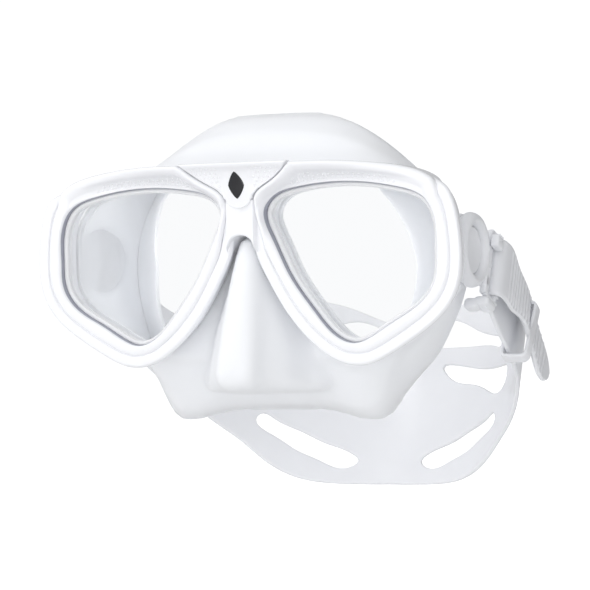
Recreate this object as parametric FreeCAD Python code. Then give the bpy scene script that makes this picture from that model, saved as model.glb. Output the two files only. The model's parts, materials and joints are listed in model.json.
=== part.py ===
"""Twin-lens diving mask: soft skirt with nose pocket, rigid frame, swivel buckles and split strap.

Millimetres. +X to the wearer's left, -Y out through the lenses, +Z up.
The origin is the middle of the face seal, level with the middle of the lenses,
in the plane where the seal meets the temples.
"""
import FreeCAD, Part
import math
import os

V = FreeCAD.Vector

# ---------------------------------------------------------------- driving sizes
FRAME_FRONT = -48.0        # front plane of the rims
BROW_FRONT = -56.6         # front of the hood over the lenses and of the centre latch
BEZEL_BACK = -40.0         # joint between the front bezels and the frame behind them
FRAME_BACK = -34.0         # back of the frame, where the skirt starts
LENS_FRONT = -44.6
LENS_THICK = 3.2           # tempered glass
LENS_MARGIN = 1.6          # how far the glass reaches past the opening
SKIRT_WALL = 2.0
FLANGE = 1.5               # thin sealing lip that lies on the face
FOREHEAD_Y = -15.0         # the seal on the forehead lies this far ahead of the temples
TEMPLE_X = 65.0
PIVOT_Y = -20.5            # axis on which both buckles swing
PIVOT_Z = 4.0
STRAP_DROOP = 21.0         # degrees that the strap hangs below level at rest
STRAP_THICK = 1.6
STRAP_HALF = 10.8          # half width of the strap where it passes the buckle
ROLLER_X = 79.0
ROLLER_U = 20.0            # distance behind the pivot
ROLLER_R = 1.9
LOOP_START = 45.0          # the strap runs straight back to here, then bends round the head
LOOP_END = 130.0           # middle of the back panel
RUN_FIT = 0.05             # radial play of a shaft that turns in a hole

# Outline of one lens opening, x outwards from the nose, z up.
OPENING = [(8.6, 20.0), (12.0, 24.6), (20.5, 27.6), (33.0, 29.0), (47.0, 28.6), (60.0, 26.4),
           (69.6, 22.2), (73.2, 15.5), (74.0, 3.0), (73.2, -6.2), (68.4, -13.6), (57.0, -20.9),
           (48.6, -26.0), (42.6, -28.0), (36.6, -26.2), (27.4, -17.0), (18.0, -4.0), (11.0, 10.6)]

# Outline of one bezel, from the top of the latch round the outside to the nose bridge.
BEZEL = [(22.0, 36.6), (38.0, 36.6), (50.0, 35.7), (62.0, 33.9), (71.4, 30.4), (77.6, 24.0),
         (80.8, 13.0), (81.6, 1.4), (80.2, -8.0), (76.0, -15.6), (67.6, -23.0), (56.0, -30.2),
         (46.4, -34.2), (38.2, -33.6), (30.2, -29.2), (22.6, -22.2), (15.6, -13.0), (10.0, -3.2),
         (6.2, 5.4), (5.3, 10.0)]
BRIDGE_TOP = (5.3, 21.2)   # the bezel's straight inner edge ends here, below the latch

# Half sections of the skirt, from the top middle round the outside to the bottom middle.
SKIRT_AT_FRAME = [(0, 31.0), (28, 34.0), (56, 32.4), (69.6, 25.5), (75.2, 13), (75.9, 0),
                  (73.5, -11), (62, -24), (48, -31.5), (38, -33.0), (20, -34.0), (0, -34.0)]
SKIRT_MIDDLE = [(0, 48.6), (24, 47.6), (45, 40.5), (62, 30.5), (73, 18), (75.6, 4),
                (73.4, -10), (63, -27), (50, -40.0), (39, -45.0), (20, -45.5), (0, -45.0)]
SKIRT_AT_FACE = [(0, 56.4), (20, 54.6), (38, 46.6), (54, 36.5), (66.5, 24.5), (72.4, 8),
                 (71.6, -9), (64.5, -26), (53, -43), (41.5, -54.6), (20, -53.6), (0, -52.0)]
SKIRT_BEHIND = [(0, 57.4), (20, 55.6), (37, 47.4), (52, 36.5), (63, 24), (68, 8),
                (67.2, -9), (61, -26), (51, -43), (41, -56.0), (20, -55.0), (0, -53.4)]
FACE_OPENING = [(0, 40.0), (24, 38.6), (42, 29.0), (50.4, 12.0), (50.6, -4.0), (44.0, -19.0),
                (34.0, -33.0), (24.0, -42.0), (0, -44.0)]

# Nose pocket in level slices: height, front, half width at the front, half width at the frame.
NOSE_SLICES = [(9.0, -46.6, 2.4, 4.2), (0.0, -49.0, 4.0, 7.0), (-12.0, -53.0, 5.6, 12.6),
               (-26.0, -57.6, 6.8, 18.0), (-38.0, -60.4, 7.4, 20.6), (-43.6, -58.4, 6.6, 19.6)]


# ---------------------------------------------------------------- helpers
def spline(points, closed):
    """A smooth curve through the points."""
    curve = Part.BSplineCurve()
    curve.interpolate(points, PeriodicFlag=closed)
    return curve.toShape()


def at_y(points, y):
    """Outline points (x, z) placed in the plane of the given y."""
    return [V(x, y, z) for x, z in points]


def whole(half):
    """Both halves of an outline given from its top middle to its bottom middle."""
    return list(half) + [(-x, z) for x, z in reversed(half[1:-1])]


def closed_wire(points, y):
    return Part.Wire([spline(at_y(points, y), True)])


def grown(points, distance):
    """A closed outline moved outwards by a distance, or inwards if it is negative."""
    moved = []
    for k, (x, z) in enumerate(points):
        before, after = points[k - 1], points[(k + 1) % len(points)]
        run, rise = after[0] - before[0], after[1] - before[1]
        length = math.hypot(run, rise)
        moved.append((x - distance * rise / length, z + distance * run / length))
    return moved


def prism(wire, direction):
    return Part.Face(wire).extrude(direction)


def polygon(points):
    return Part.Face(Part.makePolygon(points + points[:1]))


def mirrored(shape):
    return shape.mirror(V(0, 0, 0), V(1, 0, 0))


def rod(x0, x1, y, z, radius):
    """A cylinder along X."""
    return Part.makeCylinder(radius, x1 - x0, V(x0, y, z), V(1, 0, 0))


def box(x, y, z):
    """A box from three (low, high) pairs."""
    return Part.makeBox(x[1] - x[0], y[1] - y[0], z[1] - z[0], V(x[0], y[0], z[0]))


def hung(shape):
    """From the strap's own frame (pivot at the origin, strap along +Y) to where it hangs."""
    turned = shape.copy()
    turned.rotate(V(0, 0, 0), V(1, 0, 0), -STRAP_DROOP)
    turned.translate(V(0, PIVOT_Y, PIVOT_Z))
    return turned


NODES = {}


def pair(name, left_shape):
    """A part on the +X side, the wearer's left, and its mirror image, as two nodes."""
    NODES["left_" + name] = left_shape
    NODES["right_" + name] = mirrored(left_shape)


# ---------------------------------------------------------------- lenses and their seals
def lens_prism(margin, front, back):
    wire = closed_wire(grown(OPENING, margin), front)
    return prism(wire, V(0, back - front, 0))


def lens():
    glass = lens_prism(LENS_MARGIN, LENS_FRONT, LENS_FRONT + LENS_THICK)
    return glass


def gasket():
    front = LENS_FRONT + LENS_THICK
    ring = lens_prism(LENS_MARGIN, front, BEZEL_BACK)
    return ring.cut(lens_prism(-1.0, front - 1, BEZEL_BACK + 1))


# ---------------------------------------------------------------- bezels with the brow hood
def hood_profile():
    """Side view of the front surface: upright over the lens, leaning forward at the brow."""
    z_low, z_high = 21.0, 34.0
    side = [V(0, FRAME_FRONT, -60), V(0, FRAME_FRONT, z_low), V(0, BROW_FRONT, z_high),
            V(0, BROW_FRONT, 60), V(0, -20, 60), V(0, -20, -60)]
    profile = polygon(side).extrude(V(200, 0, 0))
    profile.translate(V(-100, 0, 0))
    return profile


def hood_plan():
    """Plan view of the front surface: the hood dies away towards the outer corners."""
    plan = [V(0, BROW_FRONT, -60), V(26, BROW_FRONT, -60), V(62, BROW_FRONT + 3.4, -60),
            V(80, FRAME_FRONT, -60), V(90, FRAME_FRONT, -60), V(90, -20, -60), V(0, -20, -60)]
    half = polygon(plan).extrude(V(0, 0, 120))
    return half.fuse(mirrored(half)).removeSplitter()


def front_surface():
    return hood_profile().common(hood_plan())


def bezel():
    corner = V(BRIDGE_TOP[0], BROW_FRONT - 2, BRIDGE_TOP[1])
    outline = at_y(BEZEL, BROW_FRONT - 2)
    wire = Part.Wire([spline(outline, False),
                      Part.makeLine(outline[-1], corner),
                      Part.makeLine(corner, outline[0])])
    depth = BEZEL_BACK - (BROW_FRONT - 2)
    solid = prism(wire, V(0, depth, 0)).common(front_surface())
    solid = solid.cut(lens_prism(0, BROW_FRONT - 4, BEZEL_BACK + 1))
    return solid.cut(lens_prism(LENS_MARGIN + 0.05, LENS_FRONT, BEZEL_BACK + 1))


# ---------------------------------------------------------------- frame behind the bezels
LATCH_PIN = (-52.6, 34.4)      # y, z of the latch's hinge
PIN_R = 0.8
BARREL_R = 1.6
LATCH_GAP = 0.4


def latch_outline(gap):
    """Front view of the latch: a wide V between the two bezels."""
    return [(-21.4 + gap, 36.6), (21.4 - gap, 36.6), (5.0 - gap, 21.9), (2.4, 20.9 + gap),
            (-2.4, 20.9 + gap), (-5.0 + gap, 21.9)]


def latch_slab(front, back, gap):
    """The V cut to a slab that leans forward like the brow."""
    block = polygon(at_y(latch_outline(gap), -70)).extrude(V(0, 40, 0))
    lean = [V(0, FRAME_FRONT + front, 20.0), V(0, BROW_FRONT + front, 34.0),
            V(0, BROW_FRONT + front, 40.0), V(0, BROW_FRONT + back, 40.0),
            V(0, BROW_FRONT + back, 34.0), V(0, FRAME_FRONT + back, 20.0)]
    band = polygon(lean).extrude(V(60, 0, 0))
    band.translate(V(-30, 0, 0))
    return block.common(band)


def centre_latch():
    slab = latch_slab(-0.2, 1.8, 0.4)
    web = box((-10, 10), (-55.4, -52.6), (33.4, 35.2))
    barrel = rod(-10, 10, *LATCH_PIN, BARREL_R)
    latch = slab.fuse([web, barrel])
    latch = latch.cut(rod(-11, 11, *LATCH_PIN, PIN_R + RUN_FIT))
    return latch.cut(emblem(0.0)).removeSplitter()


def emblem(clearance):
    """A small upright lozenge let into the latch."""
    half_w, half_h, middle = 2.3 - clearance, 4.2 - clearance, 28.6
    outline = at_y([(0, middle - half_h), (half_w, middle), (0, middle + half_h),
                    (-half_w, middle)], -70)
    block = polygon(outline).extrude(V(0, 40, 0))
    return block.common(latch_slab(-0.2, 0.7, 0.4))


def main_frame():
    corner = V(0, BEZEL_BACK, 10.0)
    top = V(0, BEZEL_BACK, 32.0)
    outline = at_y(BEZEL, BEZEL_BACK)
    wire = Part.Wire([spline(outline, False), Part.makeLine(outline[-1], corner),
                      Part.makeLine(corner, top), Part.makeLine(top, outline[0])])
    half = prism(wire, V(0, FRAME_BACK - BEZEL_BACK, 0))
    half = half.cut(lens_prism(0, BEZEL_BACK - 1, FRAME_BACK + 1))
    bridge = box((-5.0, 5.0), (FRAME_FRONT + 0.2, FRAME_BACK), (9.6, 20.8))
    backing = latch_slab(2.4, 22.6, 1.0).common(box((-30, 30), (-54, FRAME_BACK), (20, 33.4)))
    ears = [rod(x, x + 3.4, *LATCH_PIN, BARREL_R - 0.1).fuse(
        box((x, x + 3.4), (LATCH_PIN[0], -44.0), (31.0, LATCH_PIN[1] + 1.2))) for x in (10.4, -13.8)]
    frame = half.fuse([mirrored(half), bridge, backing] + ears)
    frame = frame.cut(rod(-10.4, 10.4, *LATCH_PIN, BARREL_R + LATCH_GAP))
    frame = frame.cut(rod(-14, 14, *LATCH_PIN, PIN_R))
    arch = Part.makeCylinder(5.2, 30, V(0, -60, 5.0), V(0, 1, 0))
    return frame.cut(arch).removeSplitter()


def latch_pin():
    return rod(-13.6, 13.6, *LATCH_PIN, PIN_R)


# ---------------------------------------------------------------- skirt
def section(half, y, inset):
    """A closed skirt section, moved inwards by the wall thickness for the inside."""
    return closed_wire(grown(whole(half), -inset), y)


def skirt_body(inset, front):
    wires = [section(SKIRT_AT_FRAME, front, inset), section(SKIRT_MIDDLE, -24.0, inset),
             section(SKIRT_AT_FACE, -12.0, inset), section(SKIRT_BEHIND, 3.0, inset)]
    return Part.makeLoft(wires, True, True)


def nose_slice(z, front, half_front, half_back, inset):
    """One level slice of the nose pocket: rounded front, flanks that widen to the frame."""
    f, b = max(half_front - inset, 0.8), half_back - inset
    y = front + inset
    front_arc = [V(-f, y + 0.9 * f, z), V(0, y, z), V(f, y + 0.9 * f, z)]
    back = -28.0
    flank = V(b, FRAME_BACK, z)
    corner = V(b + 2.0, back, z)
    return Part.Wire([Part.Arc(*front_arc).toShape(),
                      Part.makeLine(front_arc[2], flank), Part.makeLine(flank, corner),
                      Part.makeLine(corner, V(-corner.x, back, z)),
                      Part.makeLine(V(-corner.x, back, z), V(-flank.x, flank.y, z)),
                      Part.makeLine(V(-flank.x, flank.y, z), front_arc[0])])


def nose_pocket(inset):
    slices = list(NOSE_SLICES)
    if inset:
        slices[0] = (slices[0][0] - inset,) + slices[0][1:]
        slices[-1] = (slices[-1][0] + inset,) + slices[-1][1:]
    return Part.makeLoft([nose_slice(*s, inset) for s in slices], True, True)


def face_cylinder(gap):
    """The curve of the wearer's face, upright, touching the seal at temples and forehead."""
    radius = (TEMPLE_X ** 2 + FOREHEAD_Y ** 2) / (-2 * FOREHEAD_Y)
    centre = V(0, FOREHEAD_Y + radius, -80)
    return Part.makeCylinder(radius + gap, 160, centre, V(0, 0, 1))


BOSS_R = 12.2
POST_R = 6.95
STEM_R = 4.0


def skirt():
    front = FRAME_BACK + 0.1
    outside = skirt_body(0, front).fuse(nose_pocket(0))
    boss = rod(70, ROLLER_X - 2.0, PIVOT_Y, PIVOT_Z, BOSS_R)
    outside = outside.fuse([boss, mirrored(boss)])
    room = skirt_body(SKIRT_WALL, front + SKIRT_WALL).fuse(nose_pocket(SKIRT_WALL))
    lip = face_cylinder(FLANGE).cut(prism(closed_wire(whole(FACE_OPENING), -40), V(0, 60, 0)))
    room = room.cut(lip)
    shell = outside.cut(room).cut(face_cylinder(0))
    for side in (lens_prism(1.0, FRAME_BACK - 2, FRAME_BACK + 4),):
        shell = shell.cut([side, mirrored(side)])
    stem = rod(66, 90, PIVOT_Y, PIVOT_Z, STEM_R)
    shell = shell.cut([stem, mirrored(stem)])
    return max(shell.Solids, key=lambda s: s.Volume)


# ---------------------------------------------------------------- swivel buckles
RING_X = (77.3, 81.0)
RING_R = 12.2
BORE_R = 8.4
LIP_R = POST_R + RUN_FIT
ARM_V = (11.3, 12.7)       # side arms of the fork that holds the roller
TAB_V = (13.7, 15.5)
TAB_TRAVEL = 0.8


def pivot_post():
    """Button that holds the buckle's ring on the skirt."""
    stem = rod(69.0, 77.05, 0, 0, STEM_R)
    hub = rod(77.05, 78.5, 0, 0, POST_R)
    backing = rod(67.6, 69.0, 0, 0, 7.0)
    post = stem.fuse([hub, backing])
    post.translate(V(0, PIVOT_Y, PIVOT_Z))
    return post.removeSplitter()


def pivot_cap():
    disc = rod(78.5, 79.7, PIVOT_Y, PIVOT_Z, BORE_R - 0.3)
    return disc.makeFillet(0.4, [disc.Edges[0]])


def buckle_body():
    ring = rod(*RING_X, 0, 0, RING_R)
    neck = box(RING_X, (6, 14.6), (-ARM_V[1], ARM_V[1]))
    body = ring.fuse(neck)
    for sign in (1, -1):
        low, high = sorted((sign * ARM_V[0], sign * ARM_V[1]))
        body = body.fuse(box(RING_X, (10, 24.0), (low, high)))
    body = body.cut([rod(78.3, 82, 0, 0, BORE_R), rod(70, 79, 0, 0, LIP_R)])
    axle = Part.makeCylinder(1.0 + RUN_FIT, 40, V(ROLLER_X, ROLLER_U, -20))
    stems = Part.makeCylinder(0.9 + RUN_FIT, 40, V(ROLLER_X, 14.0, -20))
    stems = stems.common(box((70, 90), (0, 30), (-20, 20)).cut(
        box((70, 90), (0, 30), (-10.3, 10.3))))
    return hung(body.cut([axle, stems]).removeSplitter())


def strap_roller():
    drum = Part.makeCylinder(ROLLER_R, 2 * (ARM_V[0] - 0.3), V(ROLLER_X, ROLLER_U, 0.3 - ARM_V[0]))
    axle = Part.makeCylinder(1.0, 2 * ARM_V[1], V(ROLLER_X, ROLLER_U, -ARM_V[1]))
    return hung(drum.fuse(axle).removeSplitter())


def squeeze_tab(sign):
    """Ribbed pad on the buckle's edge, pressed towards the strap to free it."""
    low, high = sorted((sign * TAB_V[0], sign * TAB_V[1]))
    pad = box((76.8, 82.2), (9.5, 23.0), (low, high))
    pad = pad.makeFillet(0.6, [e for e in pad.Edges if abs(e.Length - 13.5) < 0.1
                               and abs(e.CenterOfMass.z - sign * TAB_V[1]) < 0.1])
    for k in range(5):
        rib = Part.makeCylinder(0.35, 4.0, V(77.5, 11.6 + 2.3 * k, sign * TAB_V[1]), V(1, 0, 0))
        pad = pad.fuse(rib)
    stem = Part.makeCylinder(0.9, TAB_V[0] - 11.5 + 0.2, V(ROLLER_X, 14.0, 11.5 if sign > 0 else
                                                           -TAB_V[0] - 0.2))
    return hung(pad.fuse(stem).removeSplitter())


# ---------------------------------------------------------------- strap
TAIL_END = 74.0
WRAP_R = ROLLER_R + 0.4 + STRAP_THICK / 2
INNER_X = ROLLER_X - WRAP_R
OUTER_X = ROLLER_X + WRAP_R


def sag(u):
    """How far the strap's middle line sags below the straight line from pivot to back panel."""
    if u < ROLLER_U:
        return 0.0
    return -6.0 * u / LOOP_END - 12.0 * math.sin(math.pi * (u - ROLLER_U) / (LOOP_END - ROLLER_U))


# Half height of the strap at distances behind the pivot.
STRAP_HEIGHTS = [(20, 10.8), (34, 11.2), (55, 11.6), (75, 13.2), (92, 18.0), (106, 26.0),
                 (118, 34.0), (126, 39.0), (131.5, 40.5)]


def strap_side_view():
    top = [V(-90, u, sag(u) + h) for u, h in STRAP_HEIGHTS]
    low = [V(-90, u, sag(u) - h) for u, h in reversed(STRAP_HEIGHTS)]
    start_top, start_low = V(-90, 10, STRAP_HALF), V(-90, 10, -STRAP_HALF)
    wire = Part.Wire([Part.makeLine(start_top, top[0]), spline(top, False),
                      Part.makeLine(top[-1], low[0]), spline(low, False),
                      Part.makeLine(low[-1], start_low), Part.makeLine(start_low, start_top)])
    return prism(wire, V(180, 0, 0))


def loop_solid(x, end):
    """Everything inside the strap's loop when seen from above, ends open at the buckles."""
    z = -70
    back = Part.Ellipse(V(0, end, z), V(x, LOOP_START, z), V(0, LOOP_START, z))
    arc = Part.ArcOfEllipse(back, -math.pi / 2, math.pi / 2).toShape()
    ends = sorted([v.Point for v in arc.Vertexes], key=lambda p: p.x)
    left, right = V(ends[0].x, ROLLER_U, z), V(ends[1].x, ROLLER_U, z)
    wire = Part.Wire(Part.__sortEdges__([arc, Part.makeLine(ends[1], right),
                                         Part.makeLine(right, left),
                                         Part.makeLine(left, ends[0])]))
    return prism(wire, V(0, 0, 130))


def slot(points):
    """A rounded slot through the back panel, given in front view."""
    wire = Part.Wire([spline([V(x, 70, z) for x, z in points], True)])
    return prism(wire, V(0, 80, 0))


UPPER_SLOT = [(16, 27.0), (32, 21.0), (46, 12.0), (55, 3.0), (45, 4.5), (30, 9.0), (17, 13.0),
              (12, 20.0)]
MIDDLE_SLOT = [(20, 0.6), (36, 1.0), (52, -1.0), (60, -5.0), (54, -12.5), (46, -12.8), (32, -6.5)]
LOWER_SLOT = [(15, -36.5), (32, -33.0), (48, -26.0), (58, -19.5), (55, -25.0), (44, -33.5),
              (28, -39.8), (17, -41.0)]


def tail():
    """The free end beyond the buckle, outside the strap and hanging a little lower."""
    line = [V(OUTER_X, ROLLER_U, -30), V(OUTER_X + 0.8, 34, -30), V(OUTER_X + 1.2, 50, -30),
            V(OUTER_X - 1.0, TAIL_END, -30)]
    inner = [V(p.x - STRAP_THICK / 2, p.y, p.z) for p in line]
    outer = [V(p.x + STRAP_THICK / 2, p.y, p.z) for p in line]
    wire = Part.Wire([spline(inner, False), Part.makeLine(inner[-1], outer[-1]),
                      spline(outer[::-1], False), Part.makeLine(outer[0], inner[0])])
    sheet = prism(wire, V(0, 0, 60))
    middle = [(20, 0.0), (34, -4.8), (48, -9.8), (62, -15.8), (69, -19.4)]
    top = [V(70, u, v + 10.8) for u, v in middle]
    low = [V(70, u, v - 10.8) for u, v in reversed(middle)]
    tip = [top[-1], V(70, TAIL_END + 1.5, -21.0), low[0]]
    outline = Part.Wire([spline(top, False), Part.Arc(*tip).toShape(), spline(low, False),
                         Part.makeLine(low[-1], top[0])])
    return sheet.common(prism(outline, V(25, 0, 0)))


def strap():
    outside = loop_solid(INNER_X + STRAP_THICK / 2, LOOP_END + STRAP_THICK / 2)
    inside = loop_solid(INNER_X - STRAP_THICK / 2, LOOP_END - STRAP_THICK / 2)
    band = outside.cut(inside).common(strap_side_view())
    band = band.common(box((-90, 90), (ROLLER_U, 140), (-80, 60)))
    for points in (UPPER_SLOT, MIDDLE_SLOT, LOWER_SLOT):
        opening = slot(points)
        band = band.cut([opening, mirrored(opening)])
    ring = Part.makeCylinder(WRAP_R + STRAP_THICK / 2, 2 * STRAP_HALF,
                             V(ROLLER_X, ROLLER_U, -STRAP_HALF))
    ring = ring.cut(Part.makeCylinder(WRAP_R - STRAP_THICK / 2, 40, V(ROLLER_X, ROLLER_U, -20)))
    wrap = ring.common(box((60, 90), (0, ROLLER_U), (-20, 20)))
    free = wrap.fuse(tail())
    return hung(band.fuse([free, mirrored(free)]).removeSplitter())


KEEPER_U = 52.0


def keeper():
    """Loop that holds the tail against the strap."""
    slope = math.degrees(math.atan((sag(KEEPER_U + 4) - sag(KEEPER_U - 4)) / 8))
    outer = box((72.0, 86.4), (-2.4, 2.4), (-15.0, 14.6))
    inner = box((73.3, 85.0), (-4, 4), (-13.6, 13.2))
    loop = outer.makeFillet(1.2, [e for e in outer.Edges if abs(e.Length - 4.8) < 0.1]).cut(inner)
    loop.rotate(V(0, 0, 0), V(1, 0, 0), slope)
    loop.translate(V(0, KEEPER_U, sag(KEEPER_U)))
    return hung(loop)


# ---------------------------------------------------------------- build every node
pair("lens", lens())
pair("lens_gasket", gasket())
pair("bezel", bezel())
NODES["main_frame"] = main_frame()
NODES["centre_latch"] = centre_latch()
NODES["latch_emblem"] = emblem(0.05)
NODES["latch_pin"] = latch_pin()
NODES["skirt"] = skirt()
pair("pivot_post", pivot_post())
pair("pivot_cap", pivot_cap())
pair("buckle_body", buckle_body())
pair("strap_roller", strap_roller())
pair("upper_tab", squeeze_tab(1))
pair("lower_tab", squeeze_tab(-1))
NODES["strap"] = strap()
pair("strap_keeper", keeper())

os.makedirs("parts", exist_ok=True)
for name, shape in NODES.items():
    shape.exportStep("parts/" + name + ".step")
    b = shape.BoundBox
    print("%-20s %d solid  %7.2f cm3  x %6.1f %6.1f  y %6.1f %6.1f  z %6.1f %6.1f %s" % (
        name, len(shape.Solids), shape.Volume / 1000, b.XMin, b.XMax, b.YMin, b.YMax,
        b.ZMin, b.ZMax, "" if shape.isValid() else "INVALID"))
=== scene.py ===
# %% [markdown]
# # A twin-lens diving mask
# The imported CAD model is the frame: it holds the glass, the pins and every joint.
# The soft skirt, the rims, the latch, the buckles and the strap are modelled here
# in the same place, because those are the surfaces that the eye follows.

# %% Load the frame
import json
import math

import bpy
import bmesh
import numpy as np
from mathutils import Matrix, Vector


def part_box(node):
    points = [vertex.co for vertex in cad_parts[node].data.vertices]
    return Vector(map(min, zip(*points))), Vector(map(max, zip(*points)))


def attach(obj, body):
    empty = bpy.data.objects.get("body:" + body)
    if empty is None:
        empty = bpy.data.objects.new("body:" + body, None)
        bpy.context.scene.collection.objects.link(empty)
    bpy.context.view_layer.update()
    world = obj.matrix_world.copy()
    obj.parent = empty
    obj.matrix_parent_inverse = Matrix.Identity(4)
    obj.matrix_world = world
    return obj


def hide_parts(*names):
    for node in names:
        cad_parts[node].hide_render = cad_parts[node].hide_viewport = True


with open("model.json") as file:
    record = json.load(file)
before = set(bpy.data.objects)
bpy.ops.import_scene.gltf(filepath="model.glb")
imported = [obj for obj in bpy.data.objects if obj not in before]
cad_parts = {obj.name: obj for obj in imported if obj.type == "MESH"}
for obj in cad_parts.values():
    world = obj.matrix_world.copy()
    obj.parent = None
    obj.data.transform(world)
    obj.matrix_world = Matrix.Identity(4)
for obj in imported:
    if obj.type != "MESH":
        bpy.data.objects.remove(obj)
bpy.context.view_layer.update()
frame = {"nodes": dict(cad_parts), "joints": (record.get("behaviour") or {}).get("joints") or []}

# %% [markdown]
# ## Units and lines
# Sizes below are in millimetres, as a mould maker would write them, and are turned to
# metres when a mesh is made. Every outline is a short list of points with a smooth curve
# through them. A periodic cubic gives an even curve with no corners, which a chain of
# arcs would need much more care to reach.

# %% Smooth curves
MM = 0.001
MIRROR = Matrix.Scale(-1, 4, (1, 0, 0))


def cubic_slopes(values, knots, closed):
    """The slope at each knot of the smoothest cubic through the values."""
    n = len(values)
    step = np.diff(knots)
    matrix, right = np.zeros((n, n)), np.zeros((n, values.shape[1]))
    for i in range(n):
        if closed:
            before, after = step[i - 1], step[i % len(step)]
            rise_before = (values[i] - values[i - 1]) / before
            rise_after = (values[(i + 1) % n] - values[i]) / after
        elif i in (0, n - 1):
            k = min(i, n - 2)
            matrix[i, i], matrix[i, i + 1 if i == 0 else i - 1] = 2, 1
            right[i] = 3 * (values[k + 1] - values[k]) / step[k]
            continue
        else:
            before, after = step[i - 1], step[i]
            rise_before = (values[i] - values[i - 1]) / before
            rise_after = (values[i + 1] - values[i]) / after
        matrix[i, i - 1] += after
        matrix[i, i] += 2 * (before + after)
        matrix[i, (i + 1) % n] += before
        right[i] = 3 * (after * rise_before + before * rise_after)
    return np.linalg.solve(matrix, right)


def smooth(points, count, closed=True):
    """count points evenly spaced along the smooth curve through the given ones."""
    points = np.array(points, float)
    ring = np.vstack([points, points[:1]]) if closed else points
    knots = np.concatenate([[0], np.cumsum(np.linalg.norm(np.diff(ring, axis=0), axis=1))])
    slopes = cubic_slopes(points, knots, closed)
    if closed:
        slopes = np.vstack([slopes, slopes[:1]])
    fine = np.linspace(0, knots[-1], 40 * len(ring))
    k = np.clip(np.searchsorted(knots, fine, side="right") - 1, 0, len(knots) - 2)
    h = (knots[k + 1] - knots[k])[:, None]
    t = ((fine - knots[k])[:, None]) / h
    curve = (ring[k] * (2 * t ** 3 - 3 * t ** 2 + 1) + ring[k + 1] * (3 * t ** 2 - 2 * t ** 3)
             + slopes[k] * h * (t ** 3 - 2 * t ** 2 + t) + slopes[k + 1] * h * (t ** 3 - t ** 2))
    length = np.concatenate([[0], np.cumsum(np.linalg.norm(np.diff(curve, axis=0), axis=1))])
    places = np.linspace(0, length[-1], count, endpoint=not closed)
    return np.stack([np.interp(places, length, curve[:, i]) for i in range(curve.shape[1])], 1)


def ease(x, low, high):
    """0 below low, 1 above high, and a smooth S between them."""
    t = np.clip((np.asarray(x, float) - low) / (high - low), 0, 1)
    return t * t * (3 - 2 * t)


def sideways(loop):
    """Outward unit normals of a closed flat loop that runs clockwise seen from the front."""
    along = np.roll(loop, -1, axis=0) - np.roll(loop, 1, axis=0)
    along /= np.linalg.norm(along, axis=1)[:, None]
    out = np.stack([-along[:, 1], along[:, 0]], 1)
    middle = loop.mean(axis=0)
    return out if np.mean(np.sum(out * (loop - middle), axis=1)) > 0 else -out


# %% [markdown]
# ## From rows of points to a mesh
# Most pieces here are skins: a sheet of quads drawn through rows of points, like cloth laid
# over ribs. Blender's grid primitive gives the quads, its points are moved to the rows, and
# merging doubles in edit mode sews the sheet to a tube or a closed ring.

# %% Mesh helpers
def deselect():
    if bpy.context.object and bpy.context.object.mode != "OBJECT":
        bpy.ops.object.mode_set(mode="OBJECT")
    bpy.ops.object.select_all(action="DESELECT")


def only(piece):
    deselect()
    piece.select_set(True)
    bpy.context.view_layer.objects.active = piece


def in_edit(piece, *steps):
    """Runs edit-mode steps on the whole of one piece."""
    only(piece)
    bpy.ops.object.mode_set(mode="EDIT")
    bpy.ops.mesh.select_all(action="SELECT")
    for step in steps:
        step()
    bpy.ops.object.mode_set(mode="OBJECT")


def sew():
    bpy.ops.mesh.remove_doubles(threshold=1e-6)
    bpy.ops.mesh.normals_make_consistent(inside=False)


def cap_ends():
    bpy.ops.mesh.select_all(action="DESELECT")
    bpy.ops.mesh.select_non_manifold()
    bpy.ops.mesh.edge_face_add()
    bpy.ops.mesh.select_all(action="SELECT")
    bpy.ops.mesh.normals_make_consistent(inside=False)


def skin(name, rows, tube=True, ring=False):
    """A sheet through rows of points in millimetres. tube joins each row's end to its start,
    and ring joins the last row to the first."""
    rows = np.array(rows, float)
    if tube:
        rows = np.concatenate([rows, rows[:, :1]], axis=1)
    if ring:
        rows = np.concatenate([rows, rows[:1]], axis=0)
    deselect()
    bpy.ops.mesh.primitive_grid_add(x_subdivisions=rows.shape[1] - 1,
                                    y_subdivisions=rows.shape[0] - 1, size=1)
    piece = bpy.context.object
    piece.name = name
    piece.data.vertices.foreach_set("co", (rows * MM).ravel())
    in_edit(piece, sew)
    return piece


def modify(piece, kind, **settings):
    """Adds a modifier and applies it."""
    only(piece)
    modifier = piece.modifiers.new(kind.title(), kind)
    for key, value in settings.items():
        setattr(modifier, key, value)
    bpy.ops.object.modifier_apply(modifier=modifier.name)


def thicken_back(piece, depth):
    """Draws a sheet straight back into a solid."""
    move = {"value": (0, depth * MM, 0)}
    in_edit(piece, lambda: bpy.ops.mesh.extrude_region_move(TRANSFORM_OT_translate=move),
            lambda: bpy.ops.mesh.select_all(action="SELECT"),
            lambda: bpy.ops.mesh.normals_make_consistent(inside=False))


def soften(piece, angle=40):
    only(piece)
    bpy.ops.object.shade_smooth_by_angle(angle=math.radians(angle))


def mirror_copy(piece, name):
    """The other side's piece, with its own mesh."""
    only(piece)
    bpy.ops.object.duplicate()
    twin = bpy.context.object
    twin.name = name
    twin.data.transform(MIRROR)
    in_edit(twin, lambda: bpy.ops.mesh.flip_normals())
    return twin


def join(name, pieces):
    only(pieces[0])
    for piece in pieces[1:]:
        piece.select_set(True)
    bpy.ops.object.join()
    bpy.context.object.name = name
    return bpy.context.object


def report(piece):
    size = [round(v / MM, 1) for v in piece.dimensions]
    print(piece.name, size, "mm,", len(piece.data.polygons), "faces")


# %% [markdown]
# ## Colours and surfaces
# Nearly everything on this mask is white, so the surfaces differ mostly in gloss and grain.
# The rims are polished plastic, the skirt is satin silicone and the strap a glossier one, and
# light soaks a little way into both silicones. One node group gives all of them the small
# changes of a real moulding: a faint cloudiness of colour, a fine grain, and slow waves in
# the gloss.

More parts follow.
